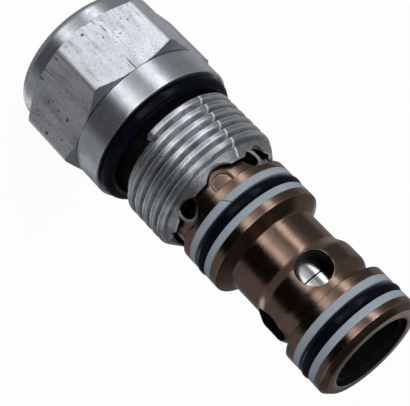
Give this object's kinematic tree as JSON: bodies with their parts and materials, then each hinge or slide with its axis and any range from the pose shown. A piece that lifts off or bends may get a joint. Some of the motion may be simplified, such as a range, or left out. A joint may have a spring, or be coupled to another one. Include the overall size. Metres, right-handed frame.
{
  "type": "cartridge valve",
  "caption": "Screw-in hydraulic cartridge valve with a hexagon plug, a scalloped threaded skirt, two sealing lands and a spring-loaded spool that slides inside a drilled cage.",
  "frame": {"origin": "centre of the flat end face of the plug's round boss, the face the valve stands on", "axes": "+Z along the valve's axis from the plug to the nose, the way the valve goes into its cavity; two corners of the hexagon lie on +X and -X, and two flats face +Y and -Y"},
  "size_m": [0.0344, 0.0306, 0.0814],
  "materials": {
    "turned_aluminium": "turned and bright drawn, with fine rings around the collar and dark pits on the flats",
    "bronze_coated_steel": "satin brown conversion coating over fine turning marks",
    "ground_steel": "ground bright",
    "spring_steel": "dark oiled wire",
    "black_rubber": "smooth oiled nitrile rubber",
    "white_ptfe": "smooth pale PTFE"
  },
  "bodies": {
    "valve_body": {"hex_plug": "turned_aluminium", "flange_o_ring": "black_rubber", "cage_snap_ring": "spring_steel", "cage": "bronze_coated_steel", "land_1_o_ring": "black_rubber", "land_1_plug_side_back_up_ring": "white_ptfe", "land_1_nose_side_back_up_ring": "white_ptfe", "land_2_o_ring": "black_rubber", "land_2_plug_side_back_up_ring": "white_ptfe", "land_2_nose_side_back_up_ring": "white_ptfe", "thick_preload_shim": "ground_steel", "thin_preload_shim": "ground_steel", "spring_seat": "ground_steel", "stroke_stop_pin": "ground_steel", "bias_spring": "spring_steel"},
    "spool_set": {"spool": "ground_steel", "spring_guide": "ground_steel", "orifice_screw": "ground_steel", "filter_screen": "ground_steel", "filter_clip": "spring_steel"}
  },
  "joints": [
    {"name": "spool_slide", "type": "slide", "parent": "valve_body", "child": "spool_set", "axis": [0, 0, -1], "range_m": [0, 0.006], "stiffness_N_per_m": 4500, "springref_m": -0.008, "deforming": ["bias_spring"]}
  ]
}
